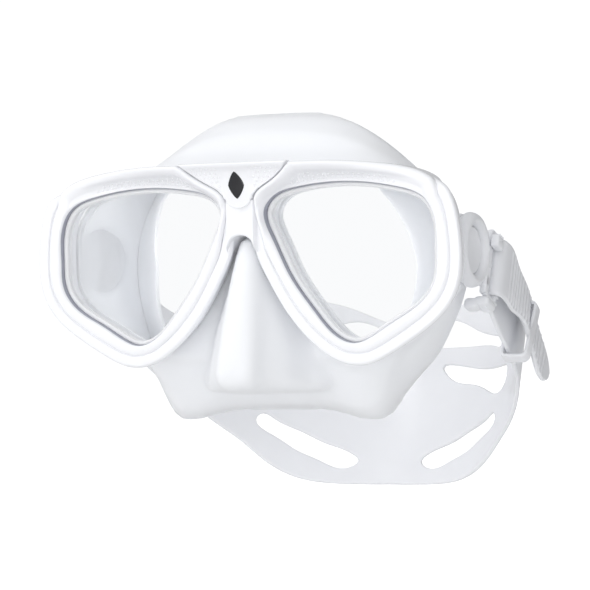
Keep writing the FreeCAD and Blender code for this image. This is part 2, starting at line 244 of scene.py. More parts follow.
# %% Moulded surface group
def make_moulded_group():
    group = bpy.data.node_groups.new("Moulded surface", "ShaderNodeTree")
    inputs = [("Colour", "NodeSocketColor"), ("Cloud", "NodeSocketFloat"),
              ("Gloss low", "NodeSocketFloat"), ("Gloss high", "NodeSocketFloat"),
              ("Grain size", "NodeSocketFloat")]
    for label, kind in inputs:
        group.interface.new_socket(name=label, in_out="INPUT", socket_type=kind)
    for label, kind in (("Colour", "NodeSocketColor"), ("Roughness", "NodeSocketFloat"),
                        ("Height", "NodeSocketFloat")):
        group.interface.new_socket(name=label, in_out="OUTPUT", socket_type=kind)
    nodes, links = group.nodes, group.links
    start, end = nodes.new("NodeGroupInput"), nodes.new("NodeGroupOutput")
    place = nodes.new("ShaderNodeTexCoord")
    cloud = nodes.new("ShaderNodeTexNoise")
    cloud.inputs["Scale"].default_value = 60
    cloud.inputs["Detail"].default_value = 3
    grain = nodes.new("ShaderNodeTexNoise")
    grain.inputs["Detail"].default_value = 2
    links.new(place.outputs["Object"], cloud.inputs["Vector"])
    links.new(place.outputs["Object"], grain.inputs["Vector"])
    links.new(start.outputs["Grain size"], grain.inputs["Scale"])
    shade = nodes.new("ShaderNodeMapRange")
    shade.inputs["From Min"].default_value = 0.3
    shade.inputs["From Max"].default_value = 0.7
    links.new(cloud.outputs["Fac"], shade.inputs["Value"])
    shade.inputs["To Min"].default_value = 1.0
    darker = nodes.new("ShaderNodeMath")
    darker.operation = "SUBTRACT"
    darker.inputs[0].default_value = 1.0
    links.new(start.outputs["Cloud"], darker.inputs[1])
    links.new(darker.outputs[0], shade.inputs["To Max"])
    tint = nodes.new("ShaderNodeVectorMath")
    tint.operation = "SCALE"
    links.new(start.outputs["Colour"], tint.inputs[0])
    links.new(shade.outputs["Result"], tint.inputs["Scale"])
    links.new(tint.outputs["Vector"], end.inputs["Colour"])
    gloss = nodes.new("ShaderNodeMapRange")
    links.new(cloud.outputs["Fac"], gloss.inputs["Value"])
    links.new(start.outputs["Gloss low"], gloss.inputs["To Min"])
    links.new(start.outputs["Gloss high"], gloss.inputs["To Max"])
    links.new(gloss.outputs["Result"], end.inputs["Roughness"])
    links.new(grain.outputs["Fac"], end.inputs["Height"])
    return group


MOULDED = make_moulded_group()


def moulded(name, colour, cloud, gloss, grain_size, bump, coat=0.0, glow=0.0):
    """A moulded plastic or rubber: colour, cloudiness, gloss range and grain. glow is how
    much light soaks through it, as it does through silicone."""
    material = bpy.data.materials.new(name)
    material.use_nodes = True
    nodes, links = material.node_tree.nodes, material.node_tree.links
    shader = nodes["Principled BSDF"]
    surface = nodes.new("ShaderNodeGroup")
    surface.node_tree = MOULDED
    surface.inputs["Colour"].default_value = (*colour, 1)
    surface.inputs["Cloud"].default_value = cloud
    surface.inputs["Gloss low"].default_value = gloss[0]
    surface.inputs["Gloss high"].default_value = gloss[1]
    surface.inputs["Grain size"].default_value = grain_size
    relief = nodes.new("ShaderNodeBump")
    relief.inputs["Strength"].default_value = bump
    relief.inputs["Distance"].default_value = 0.0001
    links.new(surface.outputs["Colour"], shader.inputs["Base Color"])
    links.new(surface.outputs["Roughness"], shader.inputs["Roughness"])
    links.new(surface.outputs["Height"], relief.inputs["Height"])
    links.new(relief.outputs["Normal"], shader.inputs["Normal"])
    shader.inputs["Coat Weight"].default_value = coat
    shader.inputs["Coat Roughness"].default_value = 0.08
    shader.inputs["Subsurface Weight"].default_value = glow
    shader.inputs["Subsurface Radius"].default_value = (1.0, 1.0, 1.0)
    shader.inputs["Subsurface Scale"].default_value = 0.004
    return material


# %% Materials
RIM_WHITE = moulded("Polished rim plastic", (0.92, 0.925, 0.95), 0.012, (0.20, 0.28), 3000, 0.10,
                    coat=0.25)
BUCKLE_WHITE = moulded("Buckle plastic", (0.87, 0.88, 0.905), 0.015, (0.24, 0.34), 2600, 0.14)
SKIRT_WHITE = moulded("Satin skirt silicone", (0.895, 0.91, 0.945), 0.015, (0.34, 0.44), 2200, 0.16,
                      glow=0.6)
STRAP_WHITE = moulded("Glossy strap silicone", (0.87, 0.88, 0.915), 0.02, (0.18, 0.28), 1800, 0.12,
                      glow=0.5)
SEAL_WHITE = moulded("Lens seal rubber", (0.93, 0.935, 0.95), 0.02, (0.30, 0.40), 2600, 0.2, glow=0.4)
# Painted shade: a dark grey laid on the rim's inner wall in place of the shadow that falls there.
WALL_SHADE_GREY = moulded("Painted wall shade", (0.36, 0.37, 0.43), 0.03, (0.40, 0.50), 2600, 0.2)
EMBLEM_BLACK = moulded("Emblem black", (0.012, 0.012, 0.015), 0.05, (0.25, 0.32), 3000, 0.1)
PIN_STEEL = moulded("Pin steel", (0.62, 0.62, 0.64), 0.04, (0.22, 0.34), 2600, 0.2)
PIN_STEEL.node_tree.nodes["Principled BSDF"].inputs["Metallic"].default_value = 1.0


def lens_glass():
    """Clear tempered glass with the faintest smear of handling in its gloss."""
    material = bpy.data.materials.new("Lens glass")
    material.use_nodes = True
    nodes, links = material.node_tree.nodes, material.node_tree.links
    shader = nodes["Principled BSDF"]
    shader.inputs["Base Color"].default_value = (0.985, 0.99, 0.99, 1)
    shader.inputs["Transmission Weight"].default_value = 1.0
    shader.inputs["IOR"].default_value = 1.5
    place = nodes.new("ShaderNodeTexCoord")
    smear = nodes.new("ShaderNodeTexNoise")
    smear.inputs["Scale"].default_value = 45
    gloss = nodes.new("ShaderNodeMapRange")
    gloss.inputs["To Min"].default_value = 0.0
    gloss.inputs["To Max"].default_value = 0.02
    links.new(place.outputs["Object"], smear.inputs["Vector"])
    links.new(smear.outputs["Fac"], gloss.inputs["Value"])
    links.new(gloss.outputs["Result"], shader.inputs["Roughness"])
    ray = nodes.new("ShaderNodeLightPath")
    passing = nodes.new("ShaderNodeMath")
    passing.operation = "MAXIMUM"
    links.new(ray.outputs["Is Shadow Ray"], passing.inputs[0])
    links.new(ray.outputs["Is Diffuse Ray"], passing.inputs[1])
    clear = nodes.new("ShaderNodeBsdfTransparent")
    either = nodes.new("ShaderNodeMixShader")
    links.new(passing.outputs["Value"], either.inputs["Fac"])
    links.new(shader.outputs["BSDF"], either.inputs[1])
    links.new(clear.outputs["BSDF"], either.inputs[2])
    links.new(either.outputs["Shader"], nodes["Material Output"].inputs["Surface"])
    return material


LENS_GLASS = lens_glass()


def finish_with(piece, material, slot, body, *nodes):
    """Gives a finished piece its material, its body and the CAD nodes that it stands for."""
    piece.data.materials.clear()
    piece.data.materials.append(material)
    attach(piece, body)
    if nodes:
        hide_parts(*nodes)
    report(piece)
    return piece


def keep_node(name, material):
    node = frame["nodes"][name]
    node.data.materials.clear()
    node.data.materials.append(material)


# %% [markdown]
# ## The rim: outlines
# Each rim is a rounded band round a drop-shaped lens opening. The opening and the outside
# are both drawn as smooth loops and sampled at the same angles about the middle of the
# lens, so that a skin can run from one to the other.

# %% Rim outlines
OPENING = [(8.6, 20.0), (12.0, 24.6), (20.5, 27.6), (33.0, 29.0), (47.0, 28.6), (60.0, 26.4),
           (69.6, 22.2), (73.2, 15.5), (74.0, 3.0), (73.2, -6.2), (68.4, -13.6), (57.0, -20.9),
           (48.6, -26.0), (42.6, -28.0), (36.6, -26.2), (27.4, -17.0), (18.0, -4.0), (11.0, 10.6)]
RIM = [(22.0, 36.6), (38.0, 36.6), (50.0, 35.7), (62.0, 33.9), (71.4, 30.4), (77.6, 24.0),
       (80.8, 13.0), (81.6, 1.4), (80.2, -8.0), (76.0, -15.6), (67.6, -23.0), (56.0, -30.2),
       (46.4, -34.2), (38.2, -33.6), (30.2, -29.2), (22.6, -22.2), (15.6, -13.0), (10.0, -3.2),
       (6.2, 5.4), (5.3, 10.0)]
LATCH_SIDE = [(5.3, 22.4), (6.1, 25.2), (8.2, 27.3), (11.5, 29.2), (15.1, 31.3), (18.4, 33.8),
              (21.4, 36.6)]
LENS_MIDDLE = np.array([41.0, 2.0])
AROUND = 300

rim_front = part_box("left_bezel")[1][1] / MM - 8.0     # front plane of the rims
rim_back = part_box("left_bezel")[1][1] / MM
frame_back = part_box("main_frame")[1][1] / MM
brow_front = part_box("left_bezel")[0][1] / MM
glass_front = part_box("left_lens")[0][1] / MM


def polar(loop, angles):
    """The loop's points where rays at these angles from the lens's middle cross it."""
    rel = np.asarray(loop) - LENS_MIDDLE
    a = np.unwrap(np.arctan2(rel[:, 1], rel[:, 0]))
    r = np.linalg.norm(rel, axis=1)
    if a[-1] < a[0]:
        a, r = a[::-1], r[::-1]
    a3 = np.concatenate([a - 2 * math.pi, a, a + 2 * math.pi])
    r3 = np.concatenate([r, r, r])
    radius = np.interp(angles, a3, r3)
    return LENS_MIDDLE + radius[:, None] * np.stack([np.cos(angles), np.sin(angles)], 1)


rim_edge = np.vstack([smooth(RIM, 500, closed=False),
                      np.linspace((5.3, 10.3), LATCH_SIDE[0], 40)[:-1],
                      smooth(LATCH_SIDE, 120, closed=False)])
opening_edge = smooth(OPENING, 500)
angles = np.linspace(-math.pi, math.pi, AROUND, endpoint=False)
inner = polar(opening_edge, angles)
outer = polar(rim_edge, angles)
print("rim width", np.round(np.linalg.norm(outer - inner, axis=1)[::30], 1))

# %% [markdown]
# ## The rim: front surface
# The front of the mask isn't flat. It stands a little forward along the nose, and it leans
# forward over the eyes as a brow hood that dies away towards the temples. Between the hood's
# ridge and the glass lies a sunk panel. One formula gives the depth of the front at every
# point from its distances to the glass and to the outside, so all the joins are smooth.

# %% Front surface
HOOD = rim_front - brow_front
NOSE_RISE = 3.0
BAND = 3.6            # width of the ridge beside the sunk panel


def latch_front(z):
    """y of the latch's front at height z: it leans further forward towards the top."""
    lean = np.clip((np.asarray(z, float) - 21.0) / 15.6, 0, 1) ** 1.5
    return rim_front - NOSE_RISE - (HOOD - NOSE_RISE) * lean


def forward(x, z):
    """How far the ridge stands in front of the flat rim."""
    fade = 1 - ease(np.abs(x), 20.0, 80.0)
    nose = NOSE_RISE * np.exp(-(np.asarray(x) / 10.5) ** 2) * ease(z, -6.0, 12.0)
    hood = (rim_front - latch_front(z)) * fade * ease(z, 15.0, 24.0)
    return np.maximum(nose, hood)


def distance_to(loop, x, z):
    """Distance from each point to a closed loop of close points."""
    spots = np.stack([np.ravel(x), np.ravel(z)], 1)
    a, b = loop, np.roll(loop, -1, axis=0)
    ab = b - a
    t = np.einsum("pik,ik->pi", spots[:, None] - a[None], ab) / np.maximum((ab ** 2).sum(1), 1e-12)
    near = a[None] + np.clip(t, 0, 1)[..., None] * ab[None]
    gap = np.linalg.norm(spots[:, None] - near, axis=2).min(axis=1)
    return gap.reshape(np.shape(x))


def quarter(gap, radius):
    """Drop of a rounded edge at a distance in from it."""
    u = np.clip(1 - gap / radius, 0, 1)
    return radius * (1 - np.sqrt(1 - u * u))


def panel_depth(x, z, from_glass, from_outside):
    top = ease(z, 21.0, 25.5) * (1 - ease(x, 52.0, 70.0))
    return 1.25 * top * ease(from_outside, BAND - 0.7, BAND + 0.7) * ease(from_glass, -0.4, 1.2)


def rim_y(x, z, from_glass, from_outside):
    """Depth of the rim's front."""
    width = from_glass + from_outside
    climb = ease(from_glass / np.maximum(width - 1.4, 0.8), -0.25, 1.1)
    y = rim_front - forward(x, z) * climb
    y = y + panel_depth(x, z, from_glass, from_outside)
    y = y - 0.9 * np.sin(math.pi * np.clip(from_outside / (BAND + 1.6), 0, 1)) ** 0.8
    return y + quarter(from_outside, 1.0) + quarter(from_glass, 0.7)


# %% [markdown]
# ## The rims
# A rim is one closed ring: up the wall beside the glass, across the front, down the outside
# and back behind. Rows crowd together at the two rounded edges, where the light turns.
# Round the sides and the bottom the rim stops short of the outside, and the frame's lip shows
# there as a second soft band. A shallow groove runs between the two.

# %% Rims
LIP = 2.7
beside_latch = (1 - ease(outer[:, 0], 20.0, 24.0)) * ease(outer[:, 1], 8.0, 21.0)
brow = ease(outer[:, 1], 24.0, 30.0) * ease(outer[:, 0], 20.0, 22.0)
covered = np.maximum(beside_latch, brow)
out = sideways(outer)
lip_width = LIP + (0.25 - LIP) * covered
rim_outside = outer - out * lip_width[:, None]
frame_outside = outer + out * (1.5 * (1 - covered) - 0.25 * covered)[:, None]


def at_depth(loop, y):
    return np.stack([loop[:, 0], np.broadcast_to(y, len(loop)), loop[:, 1]], 1)


def crowded(count):
    """Shares from 0 to 1, closer together at both ends."""
    return 0.5 - 0.5 * np.cos(np.linspace(0, math.pi, count))


def rim_rows():
    flat = inner[None] + (rim_outside - inner)[None] * crowded(36)[:, None, None]
    x, z = flat[..., 0], flat[..., 1]
    y = rim_y(x, z, distance_to(inner, x, z), distance_to(rim_outside, x, z))
    front = list(np.stack([x, y, z], -1))
    wall = [at_depth(inner, depth) for depth in (glass_front - 0.05, glass_front - 1.4)]
    edge_y = front[-1][:, 1]
    side = [at_depth(rim_outside, edge_y + (rim_back - 0.2 - edge_y) * t) for t in (0.35, 0.7, 1.0)]
    behind = at_depth(inner + sideways(inner) * 1.9, rim_back - 0.2)
    return wall + front + side + [behind]


left_rim = skin("left_rim", rim_rows(), ring=True)
soften(left_rim, 50)
right_rim = mirror_copy(left_rim, "right_rim")
finish_with(left_rim, RIM_WHITE, "frame_plastic", "mask", "left_bezel")
finish_with(right_rim, RIM_WHITE, "frame_plastic", "mask", "right_bezel")

# %% [markdown]
# ## Studs on the brow
# The sunk panels carry rows of tiny raised lozenges. They are too crisp for a bump map in
# close view, so one stud is modelled, a four-sided cone with its point cut off, and copied
# along the panel. Each copy gets its own mesh and all are then joined to one piece.

# %% One stud
def make_stud():
    deselect()
    bpy.ops.mesh.primitive_cone_add(vertices=4, radius1=0.80 * MM, radius2=0.36 * MM,
                                    depth=0.7 * MM)
    stud = bpy.context.object
    modify(stud, "BEVEL", width=0.14 * MM, segments=2, limit_method="ANGLE")
    return stud


STUD = make_stud()


def stud_at(spot, normal):
    """A copy of the stud standing on the surface at a spot, point outwards."""
    only(STUD)
    bpy.ops.object.duplicate()
    copy = bpy.context.object
    turn = Vector(normal).to_track_quat("Z", "Y").to_matrix().to_4x4()
    copy.data.transform(Matrix.Translation(Vector(spot) * MM) @ turn)
    return copy


def rim_spot(x, z):
    """A point on the rim's front and the way that the surface faces there."""
    def depth(a, b):
        a, b = np.array([a]), np.array([b])
        return float(rim_y(a, b, distance_to(inner, a, b), distance_to(rim_outside, a, b))[0])
    y = depth(x, z)
    normal = Vector((-(depth(x + 0.2, z) - y) / 0.2, 1.0, -(depth(x, z + 0.2) - y) / 0.2))
    return (x, y, z), -normal.normalized()


def panel_studs():
    copies = []
    top_edge = polar(opening_edge, np.radians(np.linspace(155, 20, 200)))
    top_edge = top_edge[top_edge[:, 1] > 20.5]
    for row in range(5):
        for x in np.arange(12.5 + 0.95 * (row % 2), 60.0 - 3.0 * row, 1.9):
            z = float(np.interp(x, top_edge[:, 0], top_edge[:, 1])) + 1.5 + 1.15 * row
            to_ridge = float(distance_to(rim_outside, np.array([x]), np.array([z]))[0])
            if to_ridge > BAND + 0.4 and z < 36:
                spot, normal = rim_spot(x, z)
                copies.append(stud_at(spot, normal))
    print(len(copies), "studs on one brow")
    return join("left_brow_studs", copies)


left_studs = panel_studs()
right_studs = mirror_copy(left_studs, "right_brow_studs")
for studs in (left_studs, right_studs):
    finish_with(studs, RIM_WHITE, "frame_plastic", "mask")

# %% [markdown]
# ## The frame behind the rims
# The rims clip into a frame whose edge shows as a second, thinner band outside the groove.
# It is a closed ring too, one for each lens, and a saddle over the nose joins the two.

# %% Frame rings
LIP_AHEAD = 0.5                           # how far the lip stands in front of the flat rim
SHOULDER, SHOULDER_IN = 1.7, 1.054        # the lip's rounding, backwards and inwards
TAPER = 4.2                               # how far the outside draws in towards the back


def frame_ring_rows():
    """Rows from the back, up the tapered outside, over the lip and down into the groove."""
    reach = forward(outer[:, 0], outer[:, 1])
    crest = rim_front - LIP_AHEAD + covered * (2.8 - 0.9 * reach)
    inset = (lip_width + 0.9 * covered)[:, None]
    back = frame_back - 0.1
    taper = (TAPER - 1.8 * covered)[:, None]
    rows = [at_depth(frame_outside - out * taper, back),
            at_depth(frame_outside - out * (taper - 1.2), back - 3.0)]
    for turn in np.linspace(0, math.pi / 2, 9):
        rows.append(at_depth(frame_outside - out * (SHOULDER_IN * (1 - math.cos(turn))),
                             crest + SHOULDER * (1 - math.sin(turn))))
    start = frame_outside - out * SHOULDER_IN
    end = outer - out * (inset - 0.12)
    for share, drop in ((0.5, -0.05), (0.75, 0.0), (0.92, 0.12), (1.0, 0.5)):
        rows.append(at_depth(start + (end - start) * share, crest + drop))
    rows.append(at_depth(outer - out * (inset - 0.05), crest + 0.9 + 2.2 * covered))
    rows.append(at_depth(outer - out * (inset + 1.0), crest + 1.1 + 2.6 * covered))
    rows.append(at_depth(inner + sideways(inner) * 0.4, rim_back - 0.1))
    rows.append(at_depth(inner + sideways(inner) * 0.2, back))
    return rows


left_ring = skin("left_frame_ring", frame_ring_rows(), ring=True)
right_ring = mirror_copy(left_ring, "right_frame_ring")

# %% Nose saddle
SADDLE_HALF, SADDLE_TOP = 6.8, 23.4
ARCH_TOP, ARCH_RISE, ARCH_HALF = 10.9, 4.4, 5.0


def saddle():
    """The bridge over the nose, with an arch below and sides that tuck behind the rims."""
    rows = []
    for t in crowded(24):
        row = []
        for x in np.linspace(-SADDLE_HALF, SADDLE_HALF, 53):
            off = abs(x)
            bend = math.sqrt(max(0.0, 1 - (min(off, ARCH_HALF - 0.1) / ARCH_HALF) ** 2))
            low = ARCH_TOP - ARCH_RISE * (1 - bend) - 3.0 * float(ease(off, 4.8, 6.4))
            z = low + (SADDLE_TOP - low) * t
            dip = 0.7 * math.cos(math.pi * min(off, 5.9) / 11.8)
            y = rim_front - NOSE_RISE + 0.15 + dip * math.sin(math.pi * t) ** 0.7
            y += float(quarter(np.array(z - low), 1.0)) * (off < 5.2)
            y += 2.4 * float(ease(off, 5.1, 6.2))
            row.append((x, y, z))
        rows.append(row)
    sheet = skin("nose_saddle", rows, tube=False)
    thicken_back(sheet, 11.0)
    return sheet


nose_saddle = saddle()
print("saddle", [round(v / MM, 1) for v in nose_saddle.dimensions])
for part in (left_ring, right_ring, nose_saddle):
    soften(part, 50)
whole_frame = join("frame", [left_ring, right_ring, nose_saddle])
finish_with(whole_frame, RIM_WHITE, "frame_plastic", "mask", "main_frame")

# %% [markdown]
# ## The centre latch
# A V-shaped lid fills the space between the rims. It follows the hood's lean, ends in a round
# tongue over the nose, and carries studs on both wings with a clear field in the middle.

# %% Latch lid
LATCH_TOP, LATCH_FOOT = 36.9, 20.7
FLANK_Z = [p[1] for p in LATCH_SIDE]
FLANK_X = [p[0] for p in LATCH_SIDE]
TONGUE_HALF, TONGUE_TOP, TONGUE_DROP = 4.9, 24.0, 3.3
LATCH_GAP = 0.3                           # clearance beside each rim


def latch_half_width(z):
    """Half the lid's width: between the rims' flanks above, a round tongue below."""
    if z > TONGUE_TOP:
        return float(np.interp(z, FLANK_Z, FLANK_X)) - LATCH_GAP + 0.1 * float(ease(z, 30, 36))
    return TONGUE_HALF * math.sqrt(max(0.0, 1 - ((TONGUE_TOP - z) / TONGUE_DROP) ** 2))


def latch_y(x, z):
    """Depth of the latch's front: a scooped field under a ridge, with two sunk wings."""
    width = latch_half_width(z)
    edge = (1 - abs(x) / max(width, 0.01)) * width
    y = float(latch_front(z)) - 0.5
    y += 1.1 * float(ease(LATCH_TOP - z, 1.0, 3.6) * (1 - ease(LATCH_TOP - z, 5.0, 13.0)))
    y += 0.5 * float(ease(abs(x), 4.6, 6.4) * ease(LATCH_TOP - z, 1.4, 2.6) * ease(edge, 0.5, 1.2))
    y += float(quarter(np.array(edge), 0.5)) + float(quarter(np.array(LATCH_TOP - z), 1.0))
    return y


def latch_lid():
    rows = []
    for t in crowded(60):
        z = LATCH_TOP - (LATCH_TOP - LATCH_FOOT) * t
        w = max(latch_half_width(z), 0.05)
        row = []
        for share in np.sin(np.linspace(-math.pi / 2, math.pi / 2, 61)):
            row.append((w * share, latch_y(w * share, z), z))
        rows.append(row)
    lid = skin("latch_lid", rows, tube=False)
    thicken_back(lid, 2.4)
    soften(lid, 45)
    return lid


lid = latch_lid()


def latch_studs():
    copies = []
    for row in range(5):
        z = 34.6 - 1.5 * row
        reach = latch_half_width(z) - 1.6
        for x in np.arange(6.9 + 0.95 * (row % 2), reach, 1.9):
            rise = (latch_y(x, z + 0.2) - latch_y(x, z)) / 0.2
            for side in (1, -1):
                copies.append(stud_at((side * x, latch_y(x, z), z), Vector((0, -1, rise))))
    return join("latch_studs", copies)


lid_studs = latch_studs()
lid = join("latch_lid", [lid, lid_studs])
finish_with(lid, RIM_WHITE, "frame_plastic", "latch", "centre_latch")

# %% [markdown]
# ## The emblem
# A plain lozenge of black plastic is let into the latch. Its outline is a superellipse with a
# low exponent, which gives four straight-looking sides and soft corners.

# %% Emblem
def emblem():
    rows = []
    turn = np.linspace(0, 2 * math.pi, 48, endpoint=False)
    for size, lift in ((1.0, 0.6), (1.0, -0.08), (0.93, -0.2), (0.8, -0.26), (0.01, -0.3)):
        x = 3.1 * size * np.sign(np.cos(turn)) * np.abs(np.cos(turn)) ** 1.5
        z = 28.8 + 4.8 * size * np.sign(np.sin(turn)) * np.abs(np.sin(turn)) ** 1.5
        y = np.array([latch_y(0.0, height) for height in z]) + lift
        rows.append(np.stack([x, y, z], 1))
    piece = skin("emblem", rows)
    in_edit(piece, cap_ends)
    soften(piece, 35)
    return piece


finish_with(emblem(), EMBLEM_BLACK, "emblem_black", "latch", "latch_emblem")

# %% [markdown]
# ## Lens seals and glass
# A thin dark grey sheet covers the rim's wall. It is painted shade for the shadow in the gap
# between rim and glass, and it shows from the front as a dark line round each opening. A white
# rubber channel wraps the edge of each glass, and makes a narrow bright ring at the foot of
# that wall. Both are short sections swept round the opening.

# %% Lens seals
def seal_rows():
    out = sideways(inner)
    section = [(0.25, -0.02), (0.25, -0.5), (-0.2, -0.7), (-0.5, -1.15), (-1.1, -1.25),
               (-1.6, -0.9), (-1.75, -0.35), (-1.75, -0.02)]
    return [at_depth(inner + out * r, glass_front + y) for r, y in section]


def wall_shade_rows():
    """A thin sheet of painted shade on the rim's wall, from the rounded edge down to the seal."""
    room = distance_to(rim_outside, inner[:, 0], inner[:, 1])
    start = rim_y(inner[:, 0], inner[:, 1], np.zeros(AROUND), room) + 0.1
    out = sideways(inner)
    return [at_depth(inner + out * 0.1, start), at_depth(inner - out * 0.1, start + 0.1),
            at_depth(inner - out * 0.2, start + 0.3), at_depth(inner - out * 0.2, glass_front - 0.6),
            at_depth(inner + out * 0.1, glass_front - 0.6)]


# The dark grey sheet on each wall is painted shade for the gap between rim and glass, not a part of the
# mask.
left_wall_shade = skin("left_painted_wall_shade", wall_shade_rows(), ring=True)
soften(left_wall_shade, 50)
right_wall_shade = mirror_copy(left_wall_shade, "right_painted_wall_shade")
finish_with(left_wall_shade, WALL_SHADE_GREY, "seal_rubber", "mask")
finish_with(right_wall_shade, WALL_SHADE_GREY, "seal_rubber", "mask")

for side in ("left", "right"):
    front_lip = skin(side + "_lens_seal", seal_rows(), ring=True)
    back_lip = skin("back_lip", [r * [1, 0, 1] + [0, 2 * glass_front + 3.2 - r[0, 1], 0]
                                 for r in seal_rows()], ring=True)
    seal = join(side + "_lens_seal", [front_lip, back_lip])
    if side == "right":
        seal.data.transform(MIRROR)
    in_edit(seal, sew)
    soften(seal, 40)
    finish_with(seal, SEAL_WHITE, "seal_rubber", "mask", side + "_lens_gasket")
    keep_node(side + "_lens", LENS_GLASS)

# %% [markdown]
# ## The skirt: outer form
# The skirt is one soft moulding with no hard edge on it. Its parts are simple by themselves: a
# deep band that widens from the frame to the face, a nose pocket that pushes forward between
# the lenses, and a round boss on each side. They are made as closed solids, melted together
# with a voxel remesh, and smoothed, which gives the flowing joins of a real mould.

# %% Skirt sections
SECTIONS = [
    (frame_back + 0.4, [(0, 31.5), (28, 33.6), (56, 31.0), (69.0, 24.4), (76.0, 13), (76.6, 0),
                        (73.6, -11), (61, -23.6), (47, -31.0), (37, -32.4), (20, -33.0), (0, -33.0)]),
    (frame_back + 3.0, [(0, 34.6), (28, 35.8), (55, 31.6), (68.4, 24.2), (75.4, 13), (76.2, 0),
                        (73.2, -11), (60, -24.6), (46.5, -32.5), (37, -34.4), (20, -35.6), (0, -36.0)]),
    (-24.0, [(0, 49.0), (24, 47.0), (43, 39.8), (58, 30.4), (70, 18), (74.4, 4),
             (72.4, -10), (60, -25.5), (48.4, -37.6), (39.2, -51.0), (20, -47.6), (0, -44.8)]),
    (-14.0, [(0, 57.6), (19, 55.8), (37, 47.6), (50.5, 37.4), (62.6, 25.0), (71.0, 8),
             (70.6, -9), (62, -26), (52.4, -40.5), (40.0, -60.0), (20, -55.4), (0, -54.0)]),
    (-4.0, [(0, 59.2), (19, 56.6), (35.0, 47.4), (47.6, 36.8), (59.4, 24.6), (68.6, 8),
            (68.4, -9), (61.4, -26), (52.4, -44.0), (39.6, -61.4), (20, -57.0), (0, -55.6)]),
    (4.0, [(0, 59.2), (19, 56.6), (34.6, 47.2), (46.4, 36.8), (56.8, 24.6), (64.6, 8),
           (64.4, -9), (58.4, -26), (51.0, -44.4), (39.0, -61.8), (20, -57.4), (0, -56.0)]),
]
BAND_POINTS = 180
FOREHEAD, TEMPLE = -15.0, 65.0
CHIN_FORWARD = 8.0               # how far the chin's corners are drawn forward
FACE_R = (TEMPLE ** 2 + FOREHEAD ** 2) / (-2 * FOREHEAD)


def both_halves(half):
    return list(half) + [(-x, z) for x, z in reversed(half[1:-1])]


def face_y(x):
    """y of the wearer's face at x: furthest forward on the middle line."""
    return FOREHEAD + FACE_R - np.sqrt(FACE_R ** 2 - np.asarray(x) ** 2)


def rear_y(x, z):
    """y of the skirt's rear rim: the face, with the chin's corners drawn forward."""
    corner = ease(np.abs(x), 6.0, 42.0) * ease(-np.asarray(z, float), 30.0, 50.0)
    return face_y(np.clip(x, -66.0, 66.0)) - CHIN_FORWARD * corner


def skirt_band():
    """The band as a closed solid, cut behind by the curve of the face."""
    depths = np.array([y for y, half in SECTIONS])
    cube = np.stack([smooth(both_halves(half), BAND_POINTS) for y, half in SECTIONS])
    rows = []
    for t in np.linspace(0, 1, 26):
        row = np.zeros((BAND_POINTS, 3))
        for k in range(BAND_POINTS):
            end = float(rear_y(cube[-2, k, 0], cube[-2, k, 1]))
            y = depths[0] + (end - depths[0]) * t
            row[k] = (np.interp(y, depths, cube[:, k, 0]), y, np.interp(y, depths, cube[:, k, 1]))
        rows.append(row)
    last = rows[-1]
    for shrink, bead in ((0.992, 0.8), (0.978, 1.2), (0.962, 0.9), (0.94, 0.1), (0.8, 0.0),
                         (0.6, 0.0), (0.3, 0.0), (0.02, 0.0)):
        row = last * [shrink, 1, shrink]
        row[:, 1] = rear_y(row[:, 0], last[:, 2]) + bead
        rows.append(row)
    first = rows[0] * [0.02, 1, 0.02]
    band = skin("soft_skirt", [first] + rows)
    in_edit(band, cap_ends)
    return band


# %% Nose pocket
POCKET = [(9.6, -46.0, 2.2, 4.6), (6.0, -47.4, 3.0, 6.0), (0.0, -49.4, 3.9, 8.2),
          (-12.0, -53.2, 5.2, 13.0), (-24.0, -56.8, 6.2, 17.2), (-34.0, -59.4, 6.9, 19.6),
          (-40.0, -59.8, 6.9, 20.6), (-43.4, -57.6, 6.0, 20.6), (-45.0, -53.0, 4.4, 19.4)]


def nose_pocket():
    rows = []
    for z, front, half_front, half_back in POCKET:
        half = [(0.0, front), (half_front * 0.62, front + 0.35), (half_front, front + 1.9),
                (half_front + 1.6, front + 5.0),
                (half_front + (half_back - half_front) * 0.62, (front - 34) / 2 + 1.5),
                (half_back, -35.5), (half_back + 4.0, -29.0), (half_back + 1.0, -24.0),
                (0.0, -23.0)]
        rows.append([(x, y, z) for x, y in smooth(both_halves(half), 90)])
    top = np.array(rows[0])
    bottom = np.array(rows[-1])
    rows = [top * [0.05, 1, 1] + [0, 0, 0.3]] + rows
    middle = bottom.mean(axis=0)
    rows.append(middle + (bottom - middle) * [0.6, 0.8, 1] + [0, 0, -0.9])
    rows.append(middle + (bottom - middle) * [0.02, 0.02, 1] + [0, 0, -1.2])
    smooth_rows = []
    stack = np.array(rows)
    for k in range(stack.shape[1]):
        smooth_rows.append(smooth(stack[1:-2, k], 60, closed=False))
    body = np.stack(smooth_rows, 1)
    pocket = skin("nose_pocket", np.concatenate([stack[:1], body, stack[-2:]]))
    in_edit(pocket, cap_ends)
    return pocket


pivot = [j for j in frame["joints"] if j["name"] == "strap_swing"][0]["pos_m"]
PIVOT_Y, PIVOT_Z = pivot[1] / MM, pivot[2] / MM


def boss(side, radius=13.2, low=65.4, high=74.2, tilt=0.0):
    """A round boss on the pivot line, from x = low to x = high on one side."""
    deselect()
    bpy.ops.mesh.primitive_cylinder_add(vertices=96, radius=radius * MM, depth=(high - low) * MM,
                                        location=(side * (low + high) / 2 * MM, PIVOT_Y * MM,
                                                  PIVOT_Z * MM),
                                        rotation=(0, math.pi / 2, side * tilt))
    bpy.ops.object.transform_apply(location=True, rotation=True, scale=True)
    return bpy.context.object


# %% [markdown]
# ## The skirt: wall, windows and sealing lip
# The melted form is given a wall, growing inwards. Thin tilted discs close the bosses off
# inside, flush with the wall. Then three prisms cut it: one through each lens opening, and one
# from behind, which leaves the broad soft lip that lies on the face.

